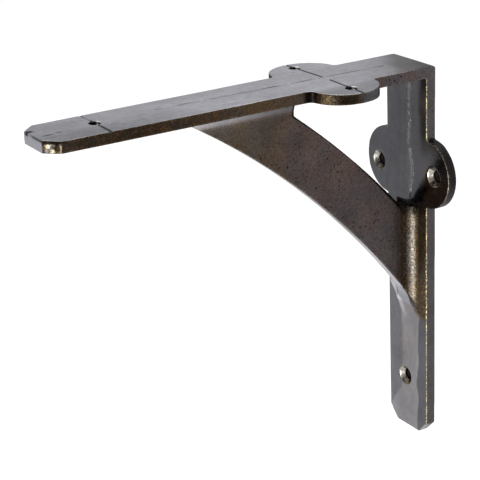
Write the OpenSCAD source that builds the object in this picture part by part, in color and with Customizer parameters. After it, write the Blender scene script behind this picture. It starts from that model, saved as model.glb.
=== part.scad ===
// Cast-iron shelf bracket, made as one casting: a flat arm that carries the shelf, a flat leg that
// lies on the wall, and a thin curved brace between them. A pair of round lobes widens each bar for
// its screws, and a single screw goes in near each free end.
// X runs across the bars, the arm points along -Y and Z is up. The origin is on the wall face,
// midway between the two lobe holes of the leg.

/* [Bars] */
// Length of the arm, from the wall face to its tip
arm_l = 158; // [150:1:240]
// Height of the leg, from the shelf face to its lower end
leg_h = 153; // [145:0.5:240]
// Width of both bars where they meet
bar_w = 25.6; // [23:0.2:32]
// Width of both bars at their free ends
end_w = 24.4; // [22:0.2:32]
// Thickness of both bars along their middle
bar_t = 4.6; // [3.6:0.1:7]
// Length cut off each corner of a free end
end_clip = 5; // [1:0.5:9]
// Radius of the outer corner, between the wall face and the shelf face
corner_r = 1.4; // [0.5:0.1:3]

/* [Draft of the cast faces] */
// Width of the level strip along the middle of every face
strip_w = 10; // [4:0.5:16]
// Slope of the faces from that strip down to their edges, in degrees
draft = 1; // [0.2:0.1:2]

/* [Lobes] */
// Radius of the round lobes
lobe_r = 13.4; // [11:0.1:16]
// Distance of the lobes' centres from the middle of the bar
lobe_side = 12.5; // [10:0.5:15]
// Distance of the lobes from the outer corner
lobe_row = 42; // [34:0.5:48]
// Radius that blends the arm's lobes into its edges
lobe_blend = 2; // [0.5:0.1:4]

/* [Screw holes] */
// Distance between the two holes in the arm's lobes
shelf_span = 37.2; // [30:0.2:40]
// How far that pair was drilled off the middle
shelf_drift = -0.4; // [-1.5:0.1:1.5]
// Distance between the two holes in the leg's lobes
wall_span = 35.2; // [30:0.2:40]
// How far that pair was drilled off the middle
wall_drift = -0.6; // [-1.5:0.1:1.5]
// How much lower the far hole of that pair was drilled
wall_slip = 1.6; // [-2:0.1:2]
// Diameter of every screw hole
hole_d = 4.3; // [3.5:0.1:5.5]
// Diameter of the countersink on the inner face
sink_d = 7.8; // [6.5:0.1:10]
// Full angle of the countersink, in degrees
sink_angle = 90; // [80:1:100]
// Distance of the arm's single hole from its tip
tip_inset = 23.2; // [12:0.1:28]
// Distance of the leg's single hole from its lower end
low_inset = 21.8; // [12:0.1:28]
// How far the leg's single hole was drilled off the middle
low_drift = -1.6; // [-2:0.1:2]

/* [Brace] */
// Thickness of the brace
brace_t = 4.8; // [3:0.1:8]
// Width of the brace, across its curve
brace_w = 21; // [16:0.5:24]
// Radius of the arch under the brace
arch_r = 320; // [200:5:600]
// Where the arch meets the arm, from the wall face
arch_arm = 104.2; // [98:0.1:120]
// Where the arch meets the leg, from the shelf face
arch_leg = 96; // [92:0.1:112]
// Radius that blends the arch into both bars
arch_blend = 17; // [4:1:24]
// Radius of the fillets on both sides of the brace
side_fillet = 6; // [2:0.2:8]
// Gap between the lobes and the square ends of the brace
lobe_gap = 1.1; // [0.5:0.1:4]

/* [Lines left by the mould] */
// Width of the fine lines across the shelf face
line_w = 0.6; // [0.3:0.1:1]
// Depth of those lines
line_d = 0.35; // [0.1:0.05:0.6]
// Sideways place of the long line at its end near the wall
seam_wall_x = 0.4; // [-2:0.1:2]
// Sideways place of the long line at its end near the tip
seam_tip_x = -1.6; // [-2:0.1:2]
// Distance of the long line's first end from the wall face
seam_start = 15; // [6:1:30]
// Distance of its second end from the wall face
seam_stop = 111; // [90:1:125]
// Sideways place of the raised flash line on the leg's inner face
flash_x = 2; // [-3:0.1:3]
// Height of the flash line
flash_h = 0.25; // [0.1:0.05:0.5]

/* [Hidden] */
$fn = 96;
// Sides of the two long arcs where they are drawn as polygons
arc_fn = 720;
// How far solids run into each other, and cutters past a face
lap = 1;
// Half the width of everything, with room to cut
reach = lobe_side + lobe_r + lap;
// Depth of the countersink
sink_depth = (sink_d - hole_d) / 2 / tan(sink_angle / 2);
// Distance of the brace's square ends from the outer corner
brace_end = lobe_row + lobe_r + lobe_gap;
// Radius of the round rod that shows as the flash line
flash_r = 0.6;
// How far blends bite into the faces they meet, so that the solids cross instead of just touching
bite = 0.01;

// Everything below is drawn from the outer corner: Y runs out along the arm and Z down the leg.
// A point of the side view is [distance from the wall face, distance below the shelf face].

// Centre of the arch: as far from both its feet as its radius, on the side away from the corner
function arch_centre() =
    let (foot_a = [arch_arm, bar_t], foot_b = [bar_t, arch_leg], span = foot_b - foot_a)
    (foot_a + foot_b) / 2
        + [span[1], -span[0]] / norm(span) * sqrt(arch_r ^ 2 - (norm(span) / 2) ^ 2);

// How far a drafted face has fallen away at a distance from the middle
function fall(x) = max(0, abs(x) - strip_w / 2) * tan(draft);

// Swaps the two bars: what is drawn for the arm lands on the leg
module on_leg() {
    mirror([0, 1, -1]) children();
}

// Turns a side view into a solid of a given width, centred across the bars
module across(width) {
    rotate([90, 0, 90]) linear_extrude(width, center = true) children();
}

// Turns a cross-section of the arm, seen from its tip, into a solid that runs from a to b
module along(a, b) {
    translate([0, b, 0]) rotate([90, 0, 0]) linear_extrude(b - a) children();
}

// Fills one corner between a bar's edge and a lobe with a blend. The edge lies a little outside
// the lobe's centre; the signs give the side of the bar, and the side of the lobe.
module lobe_corner(edge, s, t) {
    mid = [edge + lobe_blend, sqrt((lobe_r + lobe_blend) ^ 2 - (edge + lobe_blend) ^ 2)];
    difference() {
        polygon([[0, 0], [0, t * mid[1]], [s * mid[0], t * mid[1]]]);
        translate([s * mid[0], t * mid[1]]) circle(lobe_blend + bite);
    }
}

// Outline of a bar, seen on its outer face
module bar_plan(length, blended) {
    slope = (end_w - bar_w) / 2 / length;
    right = [
        [bar_w / 2, 0],
        [end_w / 2 - slope * end_clip, length - end_clip],
        [end_w / 2 - end_clip, length],
    ];
    left = [for (i = [len(right) - 1:-1:0]) [-right[i][0], right[i][1]]];
    polygon(concat(right, left));
    edge = bar_w / 2 + slope * lobe_row - lobe_side;
    for (s = [-1, 1]) translate([s * lobe_side, lobe_row]) {
        circle(lobe_r);
        if (blended) for (t = [-1, 1]) lobe_corner(edge, s, t);
    }
}

// The inner side of a bar: level along the middle, and falling away to both sides
module inner_section() {
    polygon([
        [-reach, -lap],
        [reach, -lap],
        [reach, bar_t - fall(reach)],
        [strip_w / 2, bar_t],
        [-strip_w / 2, bar_t],
        [-reach, bar_t - fall(reach)],
    ]);
}

// All that lies below the drafted shelf face, down to a depth
module under_shelf_face(length, depth) {
    along(-lap, length + lap) polygon([
        [-reach, fall(reach)],
        [-strip_w / 2, 0],
        [strip_w / 2, 0],
        [reach, fall(reach)],
        [reach, depth],
        [-reach, depth],
    ]);
}

// Screw hole through a bar, countersunk from the inner face
module screw_hole(x, y) {
    face = bar_t - fall(x);
    translate([x, y, -lap]) cylinder(h = bar_t + 2 * lap, d = hole_d);
    translate([x, y, face - sink_depth])
        cylinder(h = sink_depth + lap, d1 = hole_d, d2 = sink_d + 2 * lap * tan(sink_angle / 2));
}

// A bar with its lobes and its three holes. A pair of holes is given by its span, its drift and the
// slip of its far hole, the single hole by its distance from the free end and its drift.
module bar(length, pair, single, blended) {
    difference() {
        intersection() {
            translate([0, 0, -lap]) linear_extrude(bar_t + 2 * lap) bar_plan(length, blended);
            along(-lap, length + lap) inner_section();
        }
        for (s = [-1, 1])
            screw_hole(pair[1] + s * pair[0] / 2, lobe_row + (s < 0 ? pair[2] : 0));
        screw_hole(single[1], length - single[0]);
    }
}

// Swaps the two coordinates of a side view, so that a point by the arm becomes one by the leg
function swapped(p) = [p[1], p[0]];

// Rounds the sharp corner between the arch and a bar: what is left between the arch, the bar and
// a circle that meets both. On the leg the same is drawn with its points swapped.
module arch_corner(foot, on_arm) {
    centre = on_arm ? arch_centre() : swapped(arch_centre());
    height = bar_t - fall(brace_t / 2 + side_fillet) + arch_blend;
    mid = [centre[0] - sqrt((arch_r - arch_blend) ^ 2 - (centre[1] - height) ^ 2), height];
    touch = centre + (mid - centre) / norm(mid - centre) * (arch_r + lap);
    points = [mid, [mid[0], bar_t - lap], [foot - 2 * lap, bar_t - lap], touch];
    difference() {
        polygon(on_arm ? points : [for (p = points) swapped(p)]);
        translate(on_arm ? mid : swapped(mid)) circle(arch_blend + bite);
    }
}

// Side view of the brace: two arcs around one centre, with square ends by the lobes
module brace_profile() {
    base = bar_t - lap;
    difference() {
        translate([base, base]) square([arch_arm, arch_leg]);
        translate(arch_centre()) circle(arch_r, $fn = arc_fn);
        difference() {
            square(brace_end);
            translate(arch_centre()) circle(arch_r + brace_w, $fn = arc_fn);
        }
    }
}

// Cross-section of the brace where it grows out of a bar, with a fillet on both sides
module brace_root() {
    mid_x = brace_t / 2 + side_fillet;
    mid_z = bar_t - fall(mid_x) + side_fillet;
    difference() {
        translate([-mid_x, bar_t - 2 * lap]) square([2 * mid_x, mid_z - bar_t + 2 * lap]);
        for (s = [-1, 1]) translate([s * mid_x, mid_z]) circle(side_fillet + bite);
    }
}

// The brace: its side view cut from a plate that widens into both bars
module brace() {
    intersection() {
        across(2 * reach) union() {
            brace_profile();
            arch_corner(arch_arm, true);
            arch_corner(arch_leg, false);
        }
        union() {
            across(brace_t) square([arm_l, leg_h]);
            along(brace_end - lap, arm_l) brace_root();
            on_leg() along(brace_end - lap, leg_h) brace_root();
        }
    }
}

// The raised line that the joint of the mould left down the leg, from the corner to the brace
module flash_line() {
    translate([flash_x, bar_t + flash_h - flash_r, bar_t - lap])
        cylinder(h = brace_end - bar_t + 2 * lap, r = flash_r);
}

// The fine lines on the shelf face: one along the arm, and one across it through each row of holes
module face_lines() {
    difference() {
        translate([0, 0, -lap]) linear_extrude(2 * lap) {
            polygon([
                [seam_wall_x - line_w / 2, seam_start],
                [seam_wall_x + line_w / 2, seam_start],
                [seam_tip_x + line_w / 2, seam_stop],
                [seam_tip_x - line_w / 2, seam_stop],
            ]);
            for (y = [lobe_row, arm_l - tip_inset])
                translate([-reach, y - line_w / 2]) square([2 * reach, line_w]);
        }
        translate([0, 0, line_d]) under_shelf_face(arm_l, 3 * lap);
    }
}

// Cuts the outer corner down to its radius
module corner_cut() {
    across(2 * reach) difference() {
        translate([-lap, -lap]) square(corner_r + lap);
        translate([corner_r, corner_r]) circle(corner_r);
    }
}

// The whole casting, drawn from its outer corner
module casting() {
    difference() {
        intersection() {
            union() {
                bar(arm_l, [shelf_span, shelf_drift, 0], [tip_inset, 0], true);
                on_leg()
                    bar(leg_h, [wall_span, wall_drift, wall_slip], [low_inset, low_drift], false);
                brace();
                flash_line();
            }
            under_shelf_face(arm_l, leg_h + lap);
            on_leg() under_shelf_face(leg_h, arm_l + lap);
        }
        face_lines();
        corner_cut();
    }
}

module bracket_casting() {
    color([0.33, 0.31, 0.30]) translate([0, 0, lobe_row]) rotate([180, 0, 0]) casting();
}

bracket_casting();
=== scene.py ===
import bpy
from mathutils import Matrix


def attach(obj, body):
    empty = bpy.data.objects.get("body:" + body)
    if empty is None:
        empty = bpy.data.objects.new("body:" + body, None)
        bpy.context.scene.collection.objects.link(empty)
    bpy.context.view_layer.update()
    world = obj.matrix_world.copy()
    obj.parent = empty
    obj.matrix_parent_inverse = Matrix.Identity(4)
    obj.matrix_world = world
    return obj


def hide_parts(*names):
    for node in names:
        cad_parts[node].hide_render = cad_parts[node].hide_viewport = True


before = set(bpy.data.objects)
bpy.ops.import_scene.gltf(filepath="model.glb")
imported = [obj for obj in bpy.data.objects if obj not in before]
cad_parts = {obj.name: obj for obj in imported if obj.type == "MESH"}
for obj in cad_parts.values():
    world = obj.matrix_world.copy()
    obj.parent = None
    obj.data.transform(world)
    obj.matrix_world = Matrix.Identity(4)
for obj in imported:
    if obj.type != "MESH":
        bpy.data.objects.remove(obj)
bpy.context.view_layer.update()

from types import SimpleNamespace

import bmesh
import bpy
import numpy as np
from mathutils import Matrix, Vector, noise
from mathutils.kdtree import KDTree

scene = bpy.context.scene


# the camera, the floor and the light

studio = {
    "lens": 119.607,
    "sensor": 36.0,
    "clip": (0.01, 50.0),
    "eye": (0.47388, -0.35478, 0.19149),
    "right": (0.51464, 0.856327, -0.043009),
    "up": (-0.279097, 0.214741, 0.935944),
    "floorZ": -0.75,
    "floorHalf": 8.0,
    "paper": (0.95, 0.95, 0.95, 1),
    "paperRoughness": 0.9,
    "paperSpecular": 0.1,
    "worldPower": 1.0,
    "topBox": {
        "place": (-0.6, 0.4, 2.2), "aim": (-0.3, 0.1, -0.4), "size": (2.4, 2.4),
        "power": 30, "color": (1.0, 0.99, 0.98),
    },
    "warmBox": {
        "place": (0.24, -1.02, -0.36), "aim": (0.0, -0.05, 0.0), "size": (0.42, 0.5),
        "power": 15.0, "color": (0.97, 1.0, 0.92),
    },
}


def makeCamera(s):
    data = bpy.data.cameras.new("photoCamera")
    data.lens = s["lens"]
    data.sensor_width = s["sensor"]
    data.clip_start, data.clip_end = s["clip"]
    camera = bpy.data.objects.new("photoCamera", data)
    scene.collection.objects.link(camera)
    right, up = Vector(s["right"]).normalized(), Vector(s["up"]).normalized()
    back = right.cross(up)
    turn = Matrix((right, up, back)).transposed()
    camera.matrix_world = Matrix.Translation(s["eye"]) @ turn.to_4x4()
    scene.camera = camera


def makeFloor(s):
    half = s["floorHalf"]
    mesh = bpy.data.meshes.new("studioFloor")
    mesh.from_pydata(
        [(-half, -half, 0), (half, -half, 0), (half, half, 0), (-half, half, 0)], [], [(0, 1, 2, 3)]
    )
    floor = bpy.data.objects.new("studioFloor", mesh)
    floor.location = (0, 0, s["floorZ"])
    scene.collection.objects.link(floor)
    mat = bpy.data.materials.new("studioPaper")
    mat.use_nodes = True
    shader = mat.node_tree.nodes["Principled BSDF"]
    shader.inputs["Base Color"].default_value = s["paper"]
    shader.inputs["Roughness"].default_value = s["paperRoughness"]
    shader.inputs["Specular IOR Level"].default_value = s["paperSpecular"]
    mesh.materials.append(mat)


def makeSoftbox(name, s):
    data = bpy.data.lights.new(name, "AREA")
    data.shape = "RECTANGLE"
    data.size, data.size_y = s["size"]
    data.energy = s["power"]
    data.color = s["color"]
    lamp = bpy.data.objects.new(name, data)
    lamp.location = s["place"]
    lamp.rotation_mode = "QUATERNION"
    lamp.rotation_quaternion = (Vector(s["aim"]) - Vector(s["place"])).to_track_quat("-Z", "Y")
    scene.collection.objects.link(lamp)


def makeWorld(s):
    world = bpy.data.worlds.new("studioAir")
    scene.world = world
    world.use_nodes = True
    back = world.node_tree.nodes["Background"]
    back.inputs["Color"].default_value = (1, 1, 1, 1)
    back.inputs["Strength"].default_value = s["worldPower"]


makeCamera(studio)
makeFloor(studio)
makeWorld(studio)
makeSoftbox("topBox", studio["topBox"])
makeSoftbox("warmBox", studio["warmBox"])
scene.view_settings.view_transform = "Standard"
print("stage 2: camera, floor and light made")


# the casting's mesh, in millimetres while it is worked on
iron = {
    "toMillimetres": 1000.0,
    "voxel": 0.25,
    "rounds": 3,
    "wallRounds": 14,
    "triangles": 194000,
    "thinPlain": 0.2,
    "waveBig": 0.04,
    "waveSmall": 0.014,
    "calmAtEdges": 0.65,
    "calmFade": (0.02, 0.12),
    "armUnderZ": 37.4,
    "legFaceY": -4.6,
    "faceFade": 0.1,
    "wallSide": (-2.2, -0.4),
    "holeRim": (3.0, 5.0),
    "proudRounds": 10,
    "broadRounds": 60,
    "wearLimit": 0.05,
    "plainLimit": 0.045,
    "toneStep": 0.01,
    "grimeAndShadeStep": 0.04,
    "denseStep": 0.05,
    "stepRounds": 3,
    "denseRounds": 2,
}

# size and seed of each slow noise
noises = {
    "waveBig": (14.0, 1),
    "waveSmall": (2.6, 2),
    "wobble": (9.0, 5),
    "ripple": (2.6, 6),
    "blotch": (1.5, 7),
    "patch": (1.3, 8),
    "sheen": (6.0, 9),
    "streak": (1.6, 10),
}

# the screw holes: x and z of those in the leg, x and y of those in the arm
holes = {
    "leg": [(-18.2, -1.6), (17.0, 0.0), (-1.6, -89.2)],
    "arm": [(-19.0, -42.0), (18.2, -42.0), (0.0, -134.8)],
    "sink": 4.1,
    "sinkFade": 0.25,
    "bore": 2.35,
    "boreFade": (-0.2, 0.05),
    "flatFace": (0.88, 0.96),
    "legFrom": -5.2,
    "legConeEnd": (-2.9, -2.5),
    "armFrom": 36.8,
    "armConeEnd": (39.0, 39.4),
    # which way the countersinks' painted light and shade turn, and the painted ripple round them
    "turnedWay": (0.8, 0.6),
    "turned": (-0.45, 0.5),
    "shadeRipples": 9,
    "shadeRippleDepth": 0.12,
    "litWay": (0.95, 0.2),
    "lit": (0.4, 1.1),
    "boreShadeTone": 0.3,
    "boreShadeY": (-2.6, -1.8),
    "narrow": 0.3,
    "narrowReach": (2.45, 3.5),
    "narrowY": (-2.6, -1.2),
}

# the ridge of flash on the leg wanders: its height and place across the leg
flash = {
    "heights": (-17.0, -10.5, -2.0, 4.0, 11.5, 19.5, 27.5, 34.5),
    "places": (1.0, 1.7, 3.5, 3.0, 1.2, 2.0, 1.4, 1.8),
    "straight": 2.0,
    "reach": (0.8, 4.0),
    "depth": (-5.4, -4.3),
    "foot": (-19, -16),
    "head": (35.5, 37.0),
    "raised": -0.03,
    "low": 0.6,
    "wide": 1.35,
    "half": 2.0,
}

# the chip out of the far corner at the arm's tip
chip = {
    "place": (-6.0, -157.2, 42.0),
    "size": (1.5, 1.6, 1.2),
    "down": 0.18,
    "back": 0.2,
}


def cleanCopy(source, scale):
    work = bmesh.new()
    work.from_mesh(source.data)
    bmesh.ops.remove_doubles(work, verts=work.verts, dist=1e-6)
    bmesh.ops.scale(work, vec=(scale, scale, scale), verts=work.verts)
    mesh = bpy.data.meshes.new("castingWork")
    work.to_mesh(mesh)
    work.free()
    obj = bpy.data.objects.new("castingWork", mesh)
    scene.collection.objects.link(obj)
    return obj


def applied(obj, name):
    graph = bpy.context.evaluated_depsgraph_get()
    mesh = bpy.data.meshes.new_from_object(obj.evaluated_get(graph))
    mesh.name = name
    bpy.data.objects.remove(obj)
    return mesh


def readPoints(mesh):
    points = np.zeros(len(mesh.vertices) * 3)
    mesh.vertices.foreach_get("co", points)
    return points.reshape(-1, 3)


def readNormals(mesh):
    normals = np.zeros(len(mesh.vertices) * 3)
    mesh.vertices.foreach_get("normal", normals)
    return normals.reshape(-1, 3)


def readEdges(mesh):
    edges = np.zeros(len(mesh.edges) * 2, np.int64)
    mesh.edges.foreach_get("vertices", edges)
    return edges.reshape(-1, 2)


def relaxed(points, edges, rounds, weight=0.5):
    count = np.bincount(edges.ravel(), minlength=len(points))[:, None]
    for _ in range(rounds):
        total = np.zeros_like(points)
        for axis in range(points.shape[1]):
            total[:, axis] = np.bincount(
                edges[:, 0], points[edges[:, 1], axis], len(points)
            ) + np.bincount(edges[:, 1], points[edges[:, 0], axis], len(points))
        points = points + weight * (total / count - points)
    return points


def noiseField(points, size, seed):
    shift = Vector((seed * 13.7, seed * 5.3, seed * 9.1))
    return np.array([noise.noise(Vector(p) / size + shift) for p in points])


def ramp(values, low, high):
    t = np.clip((values - low) / (high - low), 0, 1)
    return t * t * (3 - 2 * t)


# how light each face looks, from 0 to 1, where the bare studio is 1: the iron's own colour, with painted
# reflections, highlights and shade in many of the entries. Tables go along the bar, for the lobe rims around
# them in degrees, and for the leg's fillets outwards from the brace
toneAndPaintedLight = {
    # painted reflection: the shelf face is darkest at the inner corner, lightest along the middle of the arm
    # and a little darker at the tip
    "top": (
        (-2, 0.23), (2, 0.315), (8, 0.38), (11, 0.47), (13, 0.54), (16, 0.59), (21, 0.62), (27, 0.655),
        (40, 0.665), (65, 0.66), (91, 0.675), (111, 0.655), (124, 0.63), (140, 0.61), (158, 0.58),
    ),
    "armSide": ((8, 0.29), (40, 0.25), (80, 0.235), (105, 0.185), (125, 0.152), (158, 0.185)),
    # painted glint and shade round the arm's lobe rims
    "lobeRim": (
        (-60, 0.28), (-20, 0.285), (-5, 0.265), (6, 0.22), (15, 0.145),
        (32, 0.12), (42, 0.145), (66, 0.15), (80, 0.115), (100, 0.09),
    ),
    # painted shade in the corner beside the arm's lobe
    "corner": 0.07,
    "web": 0.262,
    # painted shade along the brace's upper edge
    "webEdge": 0.04,
    "webTop": 0.22,
    # painted reflection: the bright arch under the brace
    "arch": 0.73,
    "archDim": 0.38,
    # painted highlights in the fillets: under the arm lighter towards the tip, along the leg's fillets a bright
    # band
    "armRoot": ((40, 0.31), (60, 0.37), (80, 0.50), (104, 0.71)),
    "legRoot": ((2.3, 0.15), (3.2, 0.165), (3.8, 0.25), (5.3, 0.25), (6.4, 0.22), (12.6, 0.27)),
    # painted reflections on the leg's inner face: dim above with a darker near strip, in strips below with a
    # bright streak
    "legUpper": 0.305,
    "legUpperNear": 0.13,
    "legLower": (0.42, 0.525, 0.35),
    "legStreak": 0.72,
    "legSide": 0.29,
    "legRim": 0.15,
    "legRimLower": 0.08,
    "legCut": 0.56,
    # painted highlight on the ridge of flash
    "ridge": 0.12,
    "tip": 0.60,
    # painted highlight and shade in bands across the cut-off corners at the tip
    "clip": (
        (152.5, 0.13), (152.9, 0.29), (153.4, 0.29), (153.8, 0.08), (154.7, 0.09),
        (155.1, 0.21), (155.7, 0.305), (156.8, 0.305), (157.6, 0.10),
    ),
    # painted light and shade in the countersinks: the cones' shaded and lit sides, the dark bores, the lit part
    # of the arm's bores
    "cone": (0.26, 0.50),
    "bore": 0.06,
    "boreLit": 0.75,
    "hidden": 0.31,
    "hiddenCast": 0.35,
    "hiddenSand": 0.4,
}

# where the paint changes, in millimetres or as the part of a normal; pairs are the ends of a fade
braceMarks = {
    "side": (2.25, 2.6),
    "facing": (0.55, 0.85),
    "webClouds": 0.025,
    "webBrown": 0.72,
    "brownFall": 0.2,
    "brownFallZ": (-20, 30),
    "armRoot": (28.5, 35.5),
    "armRootFrom": -9,
    "footZ": 53.5,
    "footSlope": 0.8,
    "footReach": 8.0,
    "footClouds": 0.6,
    "footFade": (-1.5, 2.5),
    "footFarSide": 9,
    "rootDepth": (-12.0, -9.6),
    "rootTop": (13.3, 14.3),
    "rootNear": (12.1, 12.5),
    "rootFar": (5.5, 6.5),
    "rootFace": (-4.4, -4.0),
    "rootDim": 0.4,
    "rootDimZ": (13.0, 20.0),
    "rootClouds": 3,
    "rootCast": ((3.2, 1.0), (3.9, 0.45), (5.3, 0.45), (6.4, 1.0)),
    "archWay": 1.414,
    "archFacing": (0.3, 0.5),
    "archSide": (0.5, 0.75),
    "archFrom": -125,
    "archTop": (35.0, 37.0),
    "archHalf": 2.7,
    "archFlare": -47,
    "archFlareTop": (30.0, 33.5),
    "archLit": (16, 31),
    "archEnd": (5.0, 9.0),
    "edgeZ": -12.7,
    "edgeY": 11.0,
    "edgeSlope": 0.96,
    "edgeTilt": 1.386,
    "bow": 1.42,
    "bowY": 30.3,
    "bowHalf": 21.5,
    "edgeWidth": 0.2,
    "edgeWidens": 0.7,
    "edgeWide": (-10, 12),
    "edgeFade": (0.0, 0.3),
    "edgeFacing": (0.25, 0.5),
    "edgeEnd": (-57.8, -56.8),
    "edgeTop": 36.8,
    "topWidth": 0.5,
}
legMarks = {
    "runOutZ": (-62.3, -56.9, -53.4, -50.8),
    "runOutX": (1.8, 4.9, 7.5, 10.2),
    "farStripX": 2.8,
    "farStripTurn": 8,
    "farStripTurnZ": (92, 107),
    "farWander": (0.9, 0.25),
    "farFade": (0.3, 1.3),
    "nearWander": (1.8, 0.35),
    "nearFade": (6.4, 7.3),
    "streak": (0.7, 2.2),
    "streakZ": (-66, -58),
    "facing": (0.6, 0.9),
    "rim": (13.2, 14.5),
    "rimLowerZ": (-2, 9),
    "front": (0.9, 0.985),
    "frontY": (-5.2, -4.9),
    "lowZ": (46, 52),
    "lowCast": 0.07,
    "ripple": 0.012,
    "olive": 0.8,
    "oliveClouds": 0.6,
    "oliveCast": 0.35,
    "oliveX": (6.5, 10.5),
    "oliveZ": (4, 17),
    "farLight": 0.02,
    "farLightX": (0, 16),
    "brown": 0.75,
    "brownX": (9.0, 13.0),
    "brownZ": (-7.0, 3.0),
    "brownEndZ": (13, 16),
    "cutX": (7.5, 8.5),
    "cutEndX": (11.6, 12.2),
    "cutZ": (106, 107),
    "cutY": (-2.6, -1.8),
    "ridgeY": (4.2, 4.5),
    "ridgeFrontY": -5.6,
    "ridgeWidth": (0.5, 1.5),
    "ridgeZ": (-18, -15),
    "ridgeLight": 0.6,
    "ridgeBlotch": 0.9,
}
armMarks = {
    "facing": (0.7, 0.9),
    "brown": 0.3,
    "brownMore": 0.65,
    "brownY": (5, 80),
    "rim": (13.2, 15.0),
    "lobeX": 13.0,
    "lobeY": 42.0,
    "glintFrom": (28, 40),
    "glintTo": (72, 84),
    "glintSand": 0.7,
    "rimBrown": (-5, 12),
    "cornerX": 13.4,
    "cornerY": 56.6,
    "cornerReach": (0.6, 2.7),
    "plain": (0.9, 0.98),
    "plainZ": 41,
    "plainCorner": (13.4, 56.8),
    "plainReach": (2, 3),
    "tip": (0.8, 0.97),
    "tipY": (156.5, 157.2),
    "clip": (0.4, 0.55),
    "clipY": (151.5, 152.5),
    "clipBrownY": 154.2,
    "clipBrownWidth": 0.6,
    "clipBrown": (0.05, 0.3),
    "clipBrownPart": 0.5,
    "clipCast": 0.32,
    "clipWander": 0.5,
    "clipPatches": 0.7,
    "clipLip": 0.75,
    "clipLipZ": (40.2, 41.2),
    "top": (0.6, 0.9),
    "topZ": (40.5, 41.2),
    "slant": 0.55,
    "topWander": 2.0,
    "sheen": 0.03,
    "streak": 0.012,
    # painted shade on the shelf face: darker towards its near side and at its near edge
    "nearDark": 0.011,
    "nearDarkX": 12,
    "nearDarkY": (90, 122),
    "edgeDark": 0.10,
    "edgeDarkX": (12, 17),
    "topBrown": 0.15,
    "topBrownY": (5, 14),
}

# the lines that the mould left in the shelf face: two across it and one along it
mouldLines = {
    "across": (42.0, 134.8),
    "acrossFade": (0.3, 0.8),
    "gapX": 1.5,
    "gapHalf": 2.2,
    "gapAway": 3,
    "tipPart": -80,
    "faint": 0.35,
    "strongX": (-3.0, 5.0),
    "farEndX": (7, 11),
    "along": (0.4, 2.0),
    "alongY": (-111, -15),
    "alongLength": 96.0,
    "alongFade": (0.25, 0.75),
    "alongDark": 0.8,
    "alongClouds": 0.4,
    "beyond": 4,
    "smudgeClouds": 0.35,
    "smudgeFade": (0.3, 1.2),
    "shelfFromZ": 40.8,
    # painted shade along the lip of the tip
    "lip": 0.85,
    "lipZ": (40.8, 41.2),
    "lipFacing": (0.75, 0.95),
    "lipY": (150, 152.5),
    "lipX": (-5, 2),
}

# rust at the corner's side, beside the lobe and low on the leg's front edge, and the leg's golden edge, which
# shows wear with painted glints
rustMarks = {
    "side": (11.8, 12.4),
    "corner": (11.5, 3.5, 39.6, 1.6),
    "lobe": (26.0, 1.6, 40.0, 2.0),
    "lobePart": 0.7,
    "armPart": 0.55,
    "armSide": (11.8, 12.2),
    "armY": (66, 80),
    "patches": (-0.1, 0.3),
    "legPart": 0.5,
    "legFrontY": -4.0,
    "legZ": 75.0,
    "legSpread": 6.0,
    "legSide": (12.0, 12.4),
    "redClouds": 4,
    "redY": (45, 78),
    "redEdge": (0.2, 0.6),
    "goldBevel": (0.2, 0.4),
    "goldY": -3.6,
    "goldX": 11.8,
    "goldHoles": 0.05,
    "goldGap": 8.0,
    "goldGapDepth": 0.6,
    "goldAtLobe": 0.4,
    "lobeZ": -1,
    "lobeHalf": 13.0,
    "coneSpark": 0.6,
}

# dark smudges on the shelf face: x, y, half width, half length, strength
smudges = (
    (-4.9, -157.3, 2.2, 1.9, 1.15),
    (3.0, -153.6, 0.8, 2.9, 0.85),
    (6.0, -152.5, 1.2, 4.0, 0.35),
    (2.2, -149.2, 0.7, 1.6, 0.85),
    (4.6, -129.5, 0.8, 1.6, 0.4),
    (-1.5, -110.1, 0.5, 1.2, 0.5),
    (-16.9, -55.1, 0.7, 1.4, 0.7),
    (-13.6, -46.7, 1.2, 0.4, 0.3),
)

# the deepest pits in the brace's near side: y, z and radius
deepPitsFromX = 2.0
deepPits = (
    (-47.9, 1.1, 0.55), (-55.8, 5.0, 0.4), (-14.9, -27.6, 0.5), (-36.1, -13.0, 0.4),
    (-41.5, -7.8, 0.4), (-29.6, -7.2, 0.35), (-56.5, 19.8, 0.45), (-54.5, 15.6, 0.4),
)


def mixed(a, b, t):
    return a + (b - a) * t


def along(values, table):
    places, levels = zip(*table)
    return np.interp(values, places, levels)


def spot(dy, yHalf, dz, zHalf):
    return np.exp(-((dy / yHalf) ** 2 + (dz / zHalf) ** 2))


def flashPlace(z):
    return np.interp(z, flash["heights"], flash["places"])


def surveyed(points, normals):
    # the places and normals of the points, slow noises, and which bar or face each one is on
    p = SimpleNamespace(points=points, normals=normals)
    p.x, p.y, p.z = points.T
    p.nx, p.ny, p.nz = normals.T
    p.side = np.abs(p.x)
    p.wobble = noiseField(points, *noises["wobble"])
    p.ripple = noiseField(points * (1, 1, 0.25), *noises["ripple"])
    p.patch = noiseField(points, *noises["patch"])
    underZ, faceY, fade = iron["armUnderZ"], iron["legFaceY"], iron["faceFade"]
    p.onArm = ramp(p.z, underZ - 3 * fade, underZ + fade)
    p.onLeg = ramp(p.y, faceY - 2 * fade, faceY + fade) * (1 - p.onArm)
    p.onWeb = (1 - p.onArm) * (1 - p.onLeg)
    p.besideWeb = (1 - p.onArm) * ramp(p.side, *braceMarks["side"])
    return p


def paint(maps, mask, tone, cast, gloss, sand):
    for name, value in (("tone", tone), ("cast", cast), ("gloss", gloss), ("sand", sand)):
        maps[name] = mixed(maps[name], value, mask)


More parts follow.
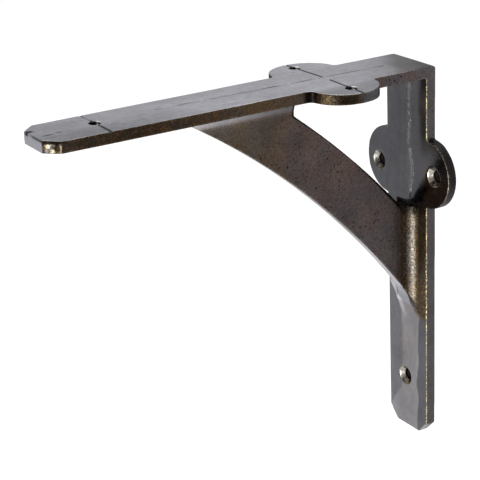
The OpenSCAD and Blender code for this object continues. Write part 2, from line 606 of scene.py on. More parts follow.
def legRootMask(p):
    # the fillets between brace and leg, down to their foot
    m = braceMarks
    foot = -p.z - m["footZ"] - m["footSlope"] * np.minimum(p.side, m["footReach"]) + m["footClouds"] * p.wobble
    mask = p.besideWeb * ramp(p.y, *m["rootDepth"]) * ramp(-p.z, *m["rootTop"])
    mask *= 1 - ramp(p.side, *m["rootNear"])
    mask *= (
        (1 - ramp(foot + m["footFarSide"] * (p.x < 0), *m["footFade"]))
        * (1 - ramp(-p.x, *m["rootFar"]))
        * (1 - ramp(p.y, *m["rootFace"]))
    )
    return mask


def lowerStrips(p):
    # below the brace the leg's inner face is painted in strips of reflected light, and the arch runs out into
    # them along a painted bright streak
    m = legMarks
    runOut = np.interp(p.z, m["runOutZ"], m["runOutX"])
    farEdge = np.maximum(runOut, m["farStripX"]) + m["farStripTurn"] * ramp(-p.z, *m["farStripTurnZ"])
    farClouds, farRipple = m["farWander"]
    nearClouds, nearRipple = m["nearWander"]
    far = ramp(-p.x + farClouds * p.wobble + farRipple * p.ripple - farEdge, *m["farFade"])
    near = ramp(p.x + nearClouds * p.wobble + nearRipple * p.ripple, *m["nearFade"])
    left, middle, right = toneAndPaintedLight["legLower"]
    lower = mixed(mixed(middle, left, far), right, near)
    streak = 1 - ramp(np.abs(-p.x - runOut), *m["streak"])
    lower = mixed(lower, toneAndPaintedLight["legStreak"], streak * ramp(p.z, *m["streakZ"]))
    return lower, (1 - near) * (1 - far)


def paintBrace(maps, p, lower):
    # its sides, the fillets beside it, its two narrow faces, with a painted highlight on the fillet under the
    # arm, a painted reflection on the arch and painted shade along the upper edge
    f, m = toneAndPaintedLight, braceMarks
    sideways = ramp(np.abs(p.nx), *m["facing"])
    webTone = f["web"] + m["webClouds"] * p.wobble
    webCast = m["webBrown"] - m["brownFall"] * ramp(-p.z, *m["brownFallZ"])
    paint(maps, p.onWeb * sideways, webTone, cast=webCast, gloss=0.35, sand=0.3)
    # painted highlight: the fillet under the arm lightens towards the tip
    armRoot = p.besideWeb * p.onWeb * ramp(p.z, *m["armRoot"]) * (p.y < m["armRootFrom"])
    paint(maps, armRoot, along(-p.y, f["armRoot"]), cast=0.0, gloss=0.5, sand=0.1)

    # the arch under the brace is painted with a bright reflection, dimmer higher up, and runs out into the
    # leg's painted strips
    below = -(p.ny + p.nz) / m["archWay"]
    arch = p.onWeb * ramp(below, *m["archFacing"]) * (1 - ramp(np.abs(p.nx), *m["archSide"]))
    arch = arch * (p.y > m["archFrom"]) * (1 - ramp(p.z, *m["archTop"]))
    arch = arch * np.maximum((p.side < m["archHalf"]) | (p.z < m["archFlare"]), ramp(p.z, *m["archFlareTop"]))
    archTone = mixed(f["archDim"], f["arch"], ramp(-p.z, *m["archLit"]))
    archTone = mixed(lower, archTone, ramp(-p.y, *m["archEnd"]))
    paint(maps, arch, archTone, cast=0.0, gloss=0.8, sand=0.0)

    # the upper edge of the brace bows out from the line between its ends
    fromInner = (m["edgeZ"] - m["edgeSlope"] * (p.y + m["edgeY"]) - p.z) / m["edgeTilt"]
    fromInner = fromInner + m["bow"] * (1 - ((p.y + m["bowY"]) / m["bowHalf"]) ** 2)
    rimWidth = m["edgeWidth"] + m["edgeWidens"] * ramp(-p.z, *m["edgeWide"])
    bevel = ramp(np.abs(p.nx), *m["edgeFacing"])
    # painted shade: a dark line along the brace's upper edge
    innerEdge = p.onWeb * (1 - ramp(fromInner - rimWidth, *m["edgeFade"])) * bevel
    innerEdge = innerEdge * (p.z < m["edgeTop"]) * ramp(p.y, *m["edgeEnd"])
    topFace = p.onWeb * (fromInner < m["topWidth"]) * (1 - bevel)
    paint(maps, topFace, f["webTop"], cast=0.6, gloss=0.2, sand=0.3)
    paint(maps, innerEdge, f["webEdge"], cast=0.6, gloss=0.2, sand=0.1)
    return arch


def paintLeg(maps, p, lower, inMiddle, arch):
    # its sides and lobe rims, then its inner face with painted reflections, the fillets of the brace with a
    # painted highlight and shade, and the ridge of flash with a painted highlight
    f, m = toneAndPaintedLight, legMarks
    outward = p.onLeg * ramp(np.hypot(p.nx, p.nz), *m["facing"])
    paint(maps, outward, f["legSide"], cast=0.25, gloss=0.35, sand=0.15)
    rimTone = f["legRim"] + f["legRimLower"] * ramp(-p.z, *m["rimLowerZ"])
    paint(maps, outward * ramp(p.side, *m["rim"]), rimTone, cast=0.3, gloss=0.35, sand=0.3)
    front = ramp(-p.ny, *m["front"]) * ramp(p.y, *m["frontY"]) * (1 - p.onArm) * (1 - arch)
    low = ramp(-p.z, *m["lowZ"])
    # the leg's inner face is painted with reflections: dim above, darker and olive in a near strip up by the
    # arm, lighter towards the far side, browner by the near lobe, and in strips lower down
    olive = ramp(p.x + p.ripple, *m["oliveX"]) * ramp(p.z, *m["oliveZ"])
    upper = f["legUpper"] + m["farLight"] * ramp(-p.x, *m["farLightX"]) + m["ripple"] * p.ripple
    upper = mixed(upper, f["legUpperNear"], olive * (m["olive"] + m["oliveClouds"] * p.wobble))
    lobeBrown = m["brown"] * ramp(p.x, *m["brownX"]) * ramp(-p.z, *m["brownZ"])
    lobeBrown = lobeBrown * (1 - ramp(-p.z, *m["brownEndZ"]))
    frontCast = np.maximum(np.maximum(m["oliveCast"] * olive, lobeBrown), m["lowCast"] * low * inMiddle)
    paint(maps, front, mixed(upper, lower, low), cast=frontCast, gloss=1.0, sand=0.0)
    cutCorner = p.onLeg * (1 - front) * ramp(p.x, *m["cutX"]) * (1 - ramp(p.x, *m["cutEndX"]))
    cutCorner = cutCorner * ramp(-p.z, *m["cutZ"]) * (1 - ramp(p.y, *m["cutY"]))
    paint(maps, cutCorner, f["legCut"], cast=0.1, gloss=0.5, sand=0.3)

    b, legRoot = braceMarks, legRootMask(p)
    # painted highlight in a band along the leg's fillets, less brown there, and painted shade towards their top
    shade = mixed(b["rootDim"], 1.0, ramp(-p.z + b["rootClouds"] * p.wobble, *b["rootDimZ"]))
    rootTone, rootCast = along(p.side, f["legRoot"]) * shade, along(p.side, b["rootCast"])
    paint(maps, legRoot, rootTone, cast=rootCast, gloss=0.3, sand=0.8)
    # painted highlight in blotches along the ridge of flash
    ridge = p.onWeb + p.onLeg * ramp(-p.y, *m["ridgeY"])
    ridge *= (1 - ramp(np.abs(p.x - flashPlace(p.z)), *m["ridgeWidth"])) * ramp(p.z, *m["ridgeZ"])
    ridge *= (p.y > m["ridgeFrontY"]) * (1 - p.onArm)
    blotch = m["ridgeLight"] + m["ridgeBlotch"] * noiseField(p.points, *noises["blotch"])
    paint(maps, ridge * np.clip(blotch, 0, 1), f["legUpper"] + f["ridge"], cast=0.0, gloss=0.3, sand=0.5)
    return front, legRoot, ridge


def paintArm(maps, p):
    # its sides, lobe rims with a painted glint, tip, the corner by the lobe in painted shade, cut-off corners
    # with painted highlights and shade, and the shelf face with its painted reflection
    f, m = toneAndPaintedLight, armMarks
    upright = p.onArm * ramp(np.hypot(p.nx, p.ny), *m["facing"])
    sideCast = m["brown"] + m["brownMore"] * ramp(-p.y, *m["brownY"])
    paint(maps, upright, along(-p.y, f["armSide"]), cast=sideCast, gloss=0.35, sand=0.3)
    rim = upright * ramp(p.side, *m["rim"])
    # round each lobe rim the tone darkens as painted shade, and more grain in part of it paints a glint
    bearing = np.degrees(np.arctan2(-(p.y + m["lobeY"]), p.side - m["lobeX"]))
    glint = ramp(bearing, *m["glintFrom"]) * (1 - ramp(bearing, *m["glintTo"]))
    rimCast = ramp(bearing, *m["rimBrown"])
    paint(maps, rim, along(bearing, f["lobeRim"]), cast=rimCast, gloss=0.25, sand=0.3 + m["glintSand"] * glint)
    # painted shade: the concave corner where the lobe leaves the arm's side is dark
    fromCorner = np.hypot(p.side - m["cornerX"], p.y + m["cornerY"])
    inCorner = upright * (1 - ramp(fromCorner, *m["cornerReach"]))
    paint(maps, inCorner, f["corner"], cast=0.8, gloss=0.2, sand=0.2)
    tip = ramp(-p.ny, *m["tip"]) * ramp(-p.y, *m["tipY"]) * p.onArm
    paint(maps, tip, f["tip"], cast=0.0, gloss=0.6, sand=0.0)

    clip = p.onArm * ramp(np.abs(p.nx), *m["clip"]) * ramp(-p.ny, *m["clip"]) * ramp(-p.y, *m["clipY"])
    brownPatch = np.exp(-(((p.y + m["clipBrownY"]) / m["clipBrownWidth"]) ** 2))
    brownPatch = brownPatch + m["clipBrownPart"] * ramp(p.patch, *m["clipBrown"])
    # the cut-off corners are painted in bands, partly brown colour and partly painted highlight, with painted
    # shade under the lip
    clipTone = along(-p.y + m["clipWander"] * p.patch, f["clip"]) * (1 + m["clipPatches"] * p.patch)
    clipTone = clipTone * (1 - m["clipLip"] * ramp(p.z, *m["clipLipZ"]))
    paint(maps, clip, clipTone, cast=np.clip(m["clipCast"] + brownPatch, 0, 1), gloss=0.3, sand=0.9)

    top = ramp(p.nz, *m["top"]) * ramp(p.z, *m["topZ"])
    # the shelf face's tone is a painted reflection that changes along the arm, with a painted sheen, and
    # painted shade towards the near side and at the near edge
    slanted = -p.y - m["slant"] * p.x
    sheen = noiseField(p.points * (1, 0.2, 1), *noises["sheen"])
    topTone = along(slanted + m["topWander"] * p.wobble, f["top"]) + m["sheen"] * sheen
    nearDark = m["nearDark"] * np.clip(p.x, 0, m["nearDarkX"]) * ramp(-p.y, *m["nearDarkY"])
    topTone -= nearDark + m["edgeDark"] * ramp(p.x, *m["edgeDarkX"])
    topTone += m["streak"] * noiseField(p.points * (1, 0.12, 1), *noises["streak"])
    topCast = m["topBrown"] * (1 - ramp(slanted, *m["topBrownY"]))
    paint(maps, top, topTone, cast=topCast, gloss=0.6, sand=0.0)
    return top, rim, clip


def sinkMasks(p):
    # masks of the countersunk cones and of the bores, and the tone of each point in them: painted light and
    # shade on the cones' sides with a painted ripple round them, painted shade in the leg's bores and painted
    # light in part of the arm's bores
    f, h, count = toneAndPaintedLight, holes, len(p.x)
    cone, bore, tone = np.zeros(count), np.zeros(count), np.zeros(count)
    (upTurn, farTurn), (upLit, nearLit), (boreIn, boreOut) = h["turnedWay"], h["litWay"], h["boreFade"]
    for face in ("leg", "arm"):
        onLegFace = face == "leg"
        across, within = (p.z, p.y > h["legFrom"]) if onLegFace else (p.y, p.z > h["armFrom"])
        flat = np.abs(p.ny if onLegFace else p.nz)
        pastCone = ramp(p.y, *h["legConeEnd"]) if onLegFace else ramp(p.z, *h["armConeEnd"])
        for hx, hv in h[face]:
            dx, dv = p.x - hx, across - hv
            reach = np.hypot(dx, dv)
            inside = within * (1 - ramp(reach, h["sink"] - h["sinkFade"], h["sink"]))
            inside = inside * (1 - ramp(flat, *h["flatFace"]))
            deep = np.maximum(1 - ramp(reach, h["bore"] + boreIn, h["bore"] + boreOut), pastCone)
            turned = (upTurn * dv - farTurn * dx) / np.maximum(reach, 0.1)
            shade = mixed(*f["cone"], ramp(turned, *h["turned"]))
            shade = shade * (1 + h["shadeRippleDepth"] * np.sin(h["shadeRipples"] * np.arctan2(dv, dx) + hx))
            lit = ramp(upLit * dv + nearLit * dx, *h["lit"])
            dark = f["bore"] if onLegFace else mixed(f["bore"], f["boreLit"], lit)
            tone = mixed(tone, mixed(shade, dark, deep), inside > 0)
            cone = np.maximum(cone, inside * (1 - deep))
            bore = np.maximum(bore, inside * deep)
    return cone, bore, tone


def grimeAndShadeMap(p, top):
    # dark: the mould lines, the smudges and the deepest pits, and painted shade along the lip of the tip
    m = mouldLines
    lobeRow, tipRow = m["across"]
    inGap = np.abs(p.x - m["gapX"]) < m["gapHalf"]
    across = np.minimum(np.abs(p.y + lobeRow) + m["gapAway"] * inGap, np.abs(p.y + tipRow))
    faint = m["faint"]
    strong = faint + (1 - faint) * ramp(p.x, *m["strongX"]) + faint * ramp(-p.x, *m["farEndX"])
    strong = np.where(p.y < m["tipPart"], strong, 1.0)
    middle, lean = m["along"]
    farEnd, start = m["alongY"]
    seam = np.abs(p.x - (middle - lean * (-p.y + start) / m["alongLength"]))
    seam = seam + m["beyond"] * ((p.y > start) | (p.y < farEnd))
    seamDark = (m["alongDark"] + m["alongClouds"] * p.wobble) * (1 - ramp(seam, *m["alongFade"]))
    grimeAndShade = top * np.maximum(strong * (1 - ramp(across, *m["acrossFade"])), seamDark)
    for sx, sy, width, length, strength in smudges:
        reach = np.hypot((p.x - sx) / width, (p.y - sy) / length) + m["smudgeClouds"] * p.wobble
        grimeAndShade = np.maximum(grimeAndShade, strength * (1 - ramp(reach, *m["smudgeFade"])) * (p.z > m["shelfFromZ"]))
    for py, pz, radius in deepPits:
        pit = 1 - ramp(np.hypot(p.y - py, p.z - pz), radius * 0.5, radius)
        grimeAndShade = np.maximum(grimeAndShade, pit * (p.x > deepPitsFromX) * p.onWeb)
    # painted shade along the lip of the tip
    lip = ramp(p.z, *m["lipZ"]) * (1 - ramp(p.nz, *m["lipFacing"]))
    lip = lip * ramp(-p.y, *m["lipY"]) * ramp(p.x, *m["lipX"])
    return np.maximum(grimeAndShade, m["lip"] * lip)


def faceMaps(points, normals):
    # tone is how light the iron looks, painted light and shade included, cast how brown, gloss how polished,
    # sand how grainy
    p, m = surveyed(points, normals), rustMarks
    count = len(points)
    maps = {
        "tone": np.full(count, toneAndPaintedLight["hidden"]),
        "cast": np.full(count, toneAndPaintedLight["hiddenCast"]),
        "gloss": np.zeros(count),
        "sand": np.full(count, toneAndPaintedLight["hiddenSand"]),
    }
    lower, inMiddle = lowerStrips(p)
    arch = paintBrace(maps, p, lower)
    front, legRoot, ridge = paintLeg(maps, p, lower, inMiddle, arch)
    top, rim, clip = paintArm(maps, p)
    # bare metal where the countersinks were cut, painted lit and shaded, and bores painted dark as shade
    cone, bore, sinkTone = sinkMasks(p)
    paint(maps, np.maximum(cone, bore), sinkTone, cast=0.15, gloss=0.6, sand=0.25)

    maps["grimeAndShade"] = grimeAndShadeMap(p, top)
    # painted shade deep in the leg's bores
    maps["boreShade"] = bore * (sinkTone < holes["boreShadeTone"]) * ramp(p.y, *holes["boreShadeY"])
    red = (1 - ramp(-p.y + m["redClouds"] * p.wobble, *m["redY"])) * (1 - legRoot)
    red = red * (1 - np.maximum(ridge, cone)) * (1 - rim)
    maps["red"] = red * (1 - ramp(top + front, *m["redEdge"]))
    cornerY, cornerWide, cornerZ, cornerHigh = m["corner"]
    lobeY, lobeWide, lobeZ, lobeHigh = m["lobe"]
    rust = spot(p.y + cornerY, cornerWide, p.z - cornerZ, cornerHigh) * ramp(p.x, *m["side"])
    rust += m["lobePart"] * spot(p.y + lobeY, lobeWide, p.z - lobeZ, lobeHigh) * ramp(p.x, *m["side"])
    armSide = p.onArm * (1 - rim) * (1 - clip) * ramp(p.x, *m["armSide"]) * ramp(-p.y, *m["armY"])
    rust += m["armPart"] * armSide * ramp(p.patch, *m["patches"])
    lowOnLeg = np.exp(-(((p.z + m["legZ"]) / m["legSpread"]) ** 2))
    maps["rust"] = rust + m["legPart"] * lowOnLeg * ramp(p.x, *m["legSide"]) * (p.y < m["legFrontY"])

    # the front edges of the leg show wear, with painted golden glints on them, less so beside the lobes and the
    # rust, and the leg's countersinks get painted glints too
    wornGlint = p.onLeg * ramp(np.abs(p.nx), *m["goldBevel"]) * ramp(-p.ny, *m["goldBevel"])
    wornGlint = wornGlint * (p.y < m["goldY"]) * (p.side > m["goldX"]) * (cone + bore < m["goldHoles"])
    wornGlint = wornGlint * np.where(np.abs(p.z - m["lobeZ"]) < m["lobeHalf"], m["goldAtLobe"], 1.0)
    wornGlint = wornGlint * (1 - m["goldGapDepth"] * np.exp(-(((p.z + m["legZ"]) / m["goldGap"]) ** 2)))
    maps["spark"] = m["coneSpark"] * cone * p.onLeg + wornGlint
    return maps


def wornPoints(points, edges, s):
    # a little handling wear on every edge, and more on the edges of the wall side
    crisp = relaxed(points, edges, s["rounds"])
    soft = relaxed(crisp, edges, s["wallRounds"] - s["rounds"])
    wallSide = ramp(points[:, 1], *s["wallSide"])
    for hx, hz in holes["leg"]:
        wallSide *= ramp(np.hypot(points[:, 0] - hx, points[:, 2] - hz), *s["holeRim"])
    return crisp + (soft - crisp) * wallSide[:, None]


def reshape(points):
    # the bores are a little narrower at the wall, where the drill broke through
    x, y, z = points.T
    for hx, hz in holes["leg"]:
        reach = np.hypot(x - hx, z - hz)
        narrow = 1 - holes["narrow"] * (1 - ramp(reach, *holes["narrowReach"])) * ramp(y, *holes["narrowY"])
        points[:, 0], points[:, 2] = hx + (x - hx) * narrow, hz + (z - hz) * narrow

    # the ridge of flash is moved onto its wandering line
    x, y, z = points.T
    frontY, backY = flash["depth"]
    near = (1 - ramp(np.abs(x - flash["straight"]), *flash["reach"])) * (y < backY) * (y > frontY)
    near = near * ramp(z, *flash["foot"]) * (1 - ramp(z, *flash["head"]))
    points[:, 0] += (flashPlace(z) - flash["straight"]) * near
    raised = np.minimum(y - iron["legFaceY"], 0) * near
    points[:, 0] += (x - flash["straight"]) * (flash["wide"] - 1) * (raised < flash["raised"])
    points[:, 1] -= raised * (1 - flash["low"])

    # the chipped corner at the tip
    chipX, chipY, chipZ = chip["place"]
    wide, deep, high = chip["size"]
    hit = np.exp(-(((x - chipX) / wide) ** 2 + ((y - chipY) / deep) ** 2 + ((z - chipZ) / high) ** 2))
    points[:, 2] -= chip["down"] * hit
    points[:, 1] += chip["back"] * hit


def plainMask(points, normals):
    # the shelf face, whose lines are dirty, the corner by the lobe, which is painted in shade, and the ridge of
    # flash don't wear bright
    x, y, z = points.T
    plain = ramp(normals[:, 2], *armMarks["plain"]) * (z > armMarks["plainZ"])
    cornerX, cornerY = armMarks["plainCorner"]
    plain = np.maximum(plain, 1 - ramp(np.hypot(np.abs(x) - cornerX, y + cornerY), *armMarks["plainReach"]))
    foot, head = flash["foot"][0], flash["head"][1]
    onFlash = (np.abs(x - flashPlace(z)) < flash["half"]) & (z > foot) & (z < head)
    return np.maximum(plain, onFlash * (y > legMarks["ridgeFrontY"]))


def thinned(mesh, maps, edges, s):
    # fewer triangles, but the mesh stays dense where the paint changes
    fine = bpy.data.objects.new("castingFine", mesh)
    scene.collection.objects.link(fine)
    detail = np.zeros(len(mesh.vertices), bool)
    for name, step in (("tone", s["toneStep"]), ("grimeAndShade", s["grimeAndShadeStep"])):
        detail |= np.abs(maps[name] - relaxed(maps[name][:, None], edges, s["stepRounds"])[:, 0]) > step
    detail = relaxed(detail[:, None].astype(float), edges, s["denseRounds"])[:, 0] > s["denseStep"]
    plainGroup = fine.vertex_groups.new(name="plain")
    plainGroup.add(np.flatnonzero(~detail).tolist(), 1.0, "REPLACE")
    print("  points kept dense:", int(detail.sum()))
    thin = fine.modifiers.new("thin", "DECIMATE")
    thin.vertex_group, thin.vertex_group_factor = "plain", s["thinPlain"]
    thin.ratio = min(1.0, s["triangles"] / (2.0 * len(mesh.polygons)))
    small = applied(fine, "bracketIron")
    triangles = sum(len(polygon.vertices) - 2 for polygon in small.polygons)
    print("  final mesh:", len(small.vertices), "points", triangles, "triangles")
    return small


def makeCasting(s):
    work = cleanCopy(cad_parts["bracket_casting"], s["toMillimetres"])
    remesh = work.modifiers.new("voxels", "REMESH")
    remesh.mode = "VOXEL"
    remesh.voxel_size = s["voxel"]
    mesh = applied(work, "castingFine")
    edges = readEdges(mesh)
    points = wornPoints(readPoints(mesh), edges, s)
    print("  fine mesh:", len(points), "points")
    reshape(points)
    mesh.vertices.foreach_set("co", points.ravel())
    mesh.update()
    normals = readNormals(mesh)

    # how far each point stands out of its surroundings: edges are proud, corners and lines are sunk
    proud = ((points - relaxed(points, edges, s["proudRounds"])) * normals).sum(1)
    broad = ((points - relaxed(points, edges, s["broadRounds"])) * normals).sum(1)
    maps = faceMaps(points, normals)
    maps["proud"] = np.minimum(proud, s["wearLimit"] - s["plainLimit"] * plainMask(points, normals))
    maps["broad"] = broad

    # the sand mould left the faces slightly uneven
    lift = s["waveBig"] * noiseField(points, *noises["waveBig"])
    lift += s["waveSmall"] * noiseField(points, *noises["waveSmall"])
    lift *= 1 - s["calmAtEdges"] * ramp(np.abs(broad), *s["calmFade"])
    points = points + normals * lift[:, None]
    mesh.vertices.foreach_set("co", points.ravel())
    mesh.update()

    tree = KDTree(len(points))
    for i, point in enumerate(points):
        tree.insert(point, i)
    tree.balance()
    small = thinned(mesh, maps, edges, s)
    where = np.array([tree.find(v.co)[1] for v in small.vertices])
    for name, values in maps.items():
        attribute = small.attributes.new(name, "FLOAT", "POINT")
        attribute.data.foreach_set("value", values[where].astype(np.float32))
    small.transform(Matrix.Scale(1 / s["toMillimetres"], 4))
    small.shade_smooth()
    piece = bpy.data.objects.new("bracketIron", small)
    scene.collection.objects.link(piece)
    return piece


bracket = makeCasting(iron)
print("stage 3: casting made")


# the iron and its shader nodes

def addNode(tree, kind, **values):
    node = tree.nodes.new(kind)
    for key, value in values.items():
        setattr(node, key, value)
    return node


def feed(tree, node, **inputs):
    # inputs by name, with underscores for spaces, or by place as i0, i1
    for key, value in inputs.items():
        socket = node.inputs[int(key[1:])] if key[1:].isdigit() else node.inputs[key.replace("_", " ")]
        if isinstance(value, bpy.types.NodeSocket):
            tree.links.new(value, socket)
        else:
            socket.default_value = value
    return node


def calc(tree, operation, a, b, clamp=False):
    node = addNode(tree, "ShaderNodeMath", operation=operation, use_clamp=clamp)
    return feed(tree, node, i0=a, i1=b).outputs[0]


def spread(tree, value, low, high, newLow=0.0, newHigh=1.0):
    node = addNode(tree, "ShaderNodeMapRange", interpolation_type="SMOOTHSTEP")
    feed(tree, node, Value=value, From_Min=low, From_Max=high, To_Min=newLow, To_Max=newHigh)
    return node.outputs[0]


def blendColor(tree, factor, a, b):
    node = addNode(tree, "ShaderNodeMix", data_type="RGBA", blend_type="MIX")
    feed(tree, node, i0=factor, i6=a, i7=b)
    return node.outputs[2]


def noiseAt(tree, coords, scale, detail, rough=0.5):
    node = addNode(tree, "ShaderNodeTexNoise")
    feed(tree, node, Vector=coords, Scale=scale, Detail=detail, Roughness=rough)
    return node.outputs["Fac"]


def newGroup(name, inputs, outputs):
    group = bpy.data.node_groups.new(name, "ShaderNodeTree")
    for label, kind in inputs:
        group.interface.new_socket(label, in_out="INPUT", socket_type=kind)
    for label, kind in outputs:
        group.interface.new_socket(label, in_out="OUTPUT", socket_type=kind)
    return group, group.nodes.new("NodeGroupInput"), group.nodes.new("NodeGroupOutput")


castPits = {
    "bendScale": 900.0,
    "bend": 0.0011,
    "power": 2.2,
    "biggest": 0.42,
    "rim": 0.1,
}


def pitGroup(s):
    # a mask that is 1 in a pit, with fewer and smaller pits where the amount is low
    group, start, end = newGroup(
        "castPits",
        [("Vector", "NodeSocketVector"), ("Scale", "NodeSocketFloat"), ("Amount", "NodeSocketFloat")],
        [("Pit", "NodeSocketFloat")],
    )
    bend = addNode(group, "ShaderNodeTexNoise")
    feed(group, bend, Vector=start.outputs["Vector"], Scale=s["bendScale"], Detail=2.0)
    push = addNode(group, "ShaderNodeVectorMath", operation="SCALE")
    feed(group, push, i0=bend.outputs["Color"], Scale=s["bend"])
    moved = addNode(group, "ShaderNodeVectorMath", operation="ADD")
    feed(group, moved, i0=start.outputs["Vector"], i1=push.outputs[0])
    cells = addNode(group, "ShaderNodeTexVoronoi", feature="F1")
    feed(group, cells, Vector=moved.outputs[0], Scale=start.outputs["Scale"])
    tint = addNode(group, "ShaderNodeSeparateColor")
    feed(group, tint, Color=cells.outputs["Color"])
    size = calc(group, "MULTIPLY", calc(group, "POWER", tint.outputs[0], s["power"]), start.outputs["Amount"])
    pit = calc(group, "SUBTRACT", calc(group, "MULTIPLY", size, s["biggest"]), cells.outputs["Distance"])
    mask = spread(group, pit, 0.0, s["rim"])
    group.links.new(mask, end.inputs["Pit"])
    return group


waxedIron = {
    "groundTint": (0.99, 0.99, 1.09, 1),
    "castTint": (1.45, 1.0, 0.60, 1),
    "redTint": (1.42, 0.97, 0.86, 1),
    "edgeTint": (0.6, 0.6, 0.6, 1),
    "dirtAndShadeColor": (0.008, 0.0055, 0.0045, 1),
    "pitColor": (0.02, 0.008, 0.006, 1),
    "rustColor": (0.17, 0.065, 0.025, 1),
    "fleckColor": (0.26, 0.22, 0.15, 1),
    "sparkColor": (0.30, 0.26, 0.14, 1),
    "lightPower": 2.2,
    "clouds": (60.0, 4.0, 0.55),
    "cloudShade": (0.25, 0.75, -0.05, 0.05),
    "mottle": (380.0, 5.0, 0.6),
    "mottleShade": (0.25, 0.75, -0.035, 0.035),
    "speckle": (1500.0, 3.0, 0.65),
    "grainShade": (0.3, 0.7, -0.4, 0.4),
    "streaks": (1100.0, 3.0, 0.6),
    "streakStretch": (1.0, 0.05, 0.05),
    "streakShade": (0.25, 0.75, -0.02, 0.02),
    "hues": (95.0, 3.0, 0.5),
    "hueBrown": (0.3, 0.7, 0.7, 1.25),
    "pitPatches": (55.0, 2.0),
    "pitScale": 900.0,
    "pitArea": (0.38, 0.56),
    "pitTone": (0.24, 0.36, 1.3, 0.0),
    "pitDark": 0.8,
    "rustSpecks": (0.48, 0.58),
    "rustDark": 0.5,
    "sunk": (-0.05, -0.16, 0.0, 0.8),
    "grimeAndShadeDark": 0.9,
    "proudEdge": (0.012, 0.05),
    "wearSpecks": (0.45, 0.6),
    "wearTone": (0.2, 0.4, 0.15, 0.45),
    "sparks": (0.5, 0.59),
    "skin": (2100.0, 3.0, 0.6),
    "coarse": (620.0, 3.0, 0.55),
    "skinPart": 0.45,
    "groundSkin": (0.2, 1.0, 1.0, 0.08),
    "lumps": 1.3,
    "pitDepth": 0.9,
    "roughness": (0.42, 0.16),
    "mottleRough": (0.3, 0.7, -0.03, 0.04),
    "dirtAndShadeRough": 0.4,
    "specular": 0.15,
    "bump": 0.5,
    "bumpDepth": 0.00014,
}


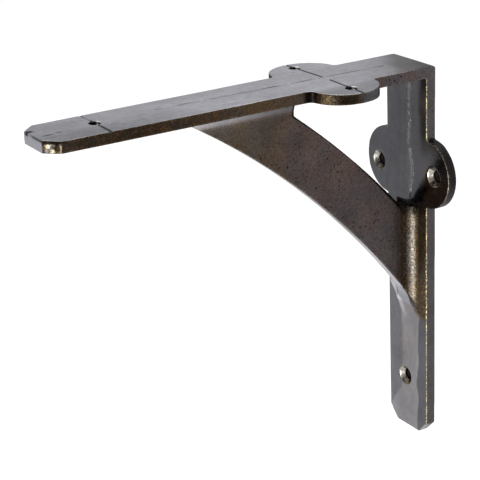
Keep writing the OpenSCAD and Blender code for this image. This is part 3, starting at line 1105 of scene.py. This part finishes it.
def ironMaterial(s):
    mat = bpy.data.materials.new("waxedIron")
    mat.use_nodes = True
    tree = mat.node_tree
    shader = tree.nodes["Principled BSDF"]
    coords = addNode(tree, "ShaderNodeTexCoord").outputs["Object"]

    def attribute(name):
        return addNode(tree, "ShaderNodeAttribute", attribute_name=name).outputs["Fac"]

    names = ("tone", "cast", "red", "gloss", "sand", "grimeAndShade", "boreShade", "rust", "spark", "proud", "broad")
    tone, cast, red, gloss, sand, grimeAndShade, boreShade, rust, spark, proud, broad = (attribute(n) for n in names)

    # tone: large clouds, finer mottling, grains of sand, and streaks along the bars
    clouds = noiseAt(tree, coords, *s["clouds"])
    mottle = noiseAt(tree, coords, *s["mottle"])
    speckle = noiseAt(tree, coords, *s["speckle"])
    stretch = addNode(tree, "ShaderNodeMapping")
    feed(tree, stretch, Vector=coords, Scale=s["streakStretch"])
    streaks = noiseAt(tree, stretch.outputs[0], *s["streaks"])
    shade = calc(tree, "ADD", spread(tree, clouds, *s["cloudShade"]), 1.0)
    shade = calc(tree, "ADD", shade, spread(tree, mottle, *s["mottleShade"]))
    shade = calc(tree, "ADD", shade, spread(tree, streaks, *s["streakShade"]))
    grains = calc(tree, "MULTIPLY", spread(tree, speckle, *s["grainShade"]), sand)
    shade = calc(tree, "ADD", shade, grains)
    light = calc(tree, "MULTIPLY", tone, shade, clamp=True)
    light = calc(tree, "POWER", light, s["lightPower"])
    hues = noiseAt(tree, coords, *s["hues"])
    brown = calc(tree, "MULTIPLY", cast, spread(tree, hues, *s["hueBrown"]), clamp=True)
    browns = blendColor(tree, red, s["castTint"], s["redTint"])
    tint = blendColor(tree, brown, s["groundTint"], browns)
    color = addNode(tree, "ShaderNodeVectorMath", operation="SCALE")
    feed(tree, color, i0=tint, Scale=light)
    color = color.outputs[0]

    # pits in the cast faces
    pits = addNode(tree, "ShaderNodeGroup", node_tree=pitGroup(castPits))
    patchy = spread(tree, noiseAt(tree, coords, *s["pitPatches"]), *s["pitArea"])
    dull = spread(tree, tone, *s["pitTone"])
    feed(tree, pits, Vector=coords, Scale=s["pitScale"], Amount=calc(tree, "MULTIPLY", patchy, dull))
    pit = pits.outputs["Pit"]
    color = blendColor(tree, calc(tree, "MULTIPLY", pit, s["pitDark"]), color, s["pitColor"])

    # rust specks, then dirt in the lines, smudges and pits, and painted shade in sunk corners, along the lip of
    # the tip and in the bores
    rusty = calc(tree, "MULTIPLY", rust, spread(tree, speckle, *s["rustSpecks"]))
    color = blendColor(tree, calc(tree, "MULTIPLY", rusty, s["rustDark"]), color, s["rustColor"])
    lines = calc(tree, "MULTIPLY", grimeAndShade, s["grimeAndShadeDark"])
    # painted shade where the surface is sunk, in corners and creases
    dirtAndShade = calc(tree, "MAXIMUM", spread(tree, broad, *s["sunk"]), lines)
    dirtAndShade = calc(tree, "MAXIMUM", dirtAndShade, boreShade)
    color = blendColor(tree, dirtAndShade, color, s["dirtAndShadeColor"])
    # rough edges are worn back to brighter metal
    wear = calc(tree, "MULTIPLY", spread(tree, proud, *s["proudEdge"]), spread(tree, speckle, *s["wearSpecks"]))
    wear = calc(tree, "MULTIPLY", wear, spread(tree, tone, *s["wearTone"]))
    wear = calc(tree, "MULTIPLY", wear, calc(tree, "SUBTRACT", 1.0, dirtAndShade))
    color = blendColor(tree, wear, color, s["fleckColor"])
    # painted glints on the leg's worn front edges and in its countersinks
    sparks = calc(tree, "MULTIPLY", spark, spread(tree, speckle, *s["sparks"]))
    color = blendColor(tree, sparks, color, s["sparkColor"])
    feed(tree, shader, Base_Color=color)

    dullness = spread(tree, gloss, 0.0, 1.0, *s["roughness"])
    dullness = calc(tree, "ADD", dullness, spread(tree, mottle, *s["mottleRough"]))
    dullness = calc(tree, "ADD", dullness, calc(tree, "MULTIPLY", dirtAndShade, s["dirtAndShadeRough"]), clamp=True)
    # the painted shade in the bores is not metal, so it doesn't flare at a glancing angle
    bare = calc(tree, "SUBTRACT", 1.0, boreShade, clamp=True)
    feed(tree, shader, Metallic=bare, Roughness=dullness)
    feed(tree, shader, Specular_Tint=s["edgeTint"], Specular_IOR_Level=s["specular"])

    # the skin of the sand mould, smoother where the face was ground, and the pits
    skin = noiseAt(tree, coords, *s["skin"])
    coarse = noiseAt(tree, coords, *s["coarse"])
    relief = calc(tree, "ADD", calc(tree, "MULTIPLY", skin, s["skinPart"]), coarse)
    relief = calc(tree, "MULTIPLY", relief, spread(tree, gloss, *s["groundSkin"]))
    lumps = calc(tree, "MULTIPLY", calc(tree, "MULTIPLY", speckle, sand), s["lumps"])
    height = calc(tree, "ADD", relief, lumps)
    height = calc(tree, "SUBTRACT", height, calc(tree, "MULTIPLY", pit, s["pitDepth"]))
    bump = addNode(tree, "ShaderNodeBump")
    feed(tree, bump, Height=height, Strength=s["bump"], Distance=s["bumpDepth"])
    feed(tree, shader, Normal=bump.outputs[0])
    return mat


bracket.data.materials.clear()
bracket.data.materials.append(ironMaterial(waxedIron))
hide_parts("bracket_casting")
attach(bracket, "root")
print("stage 4: iron made")
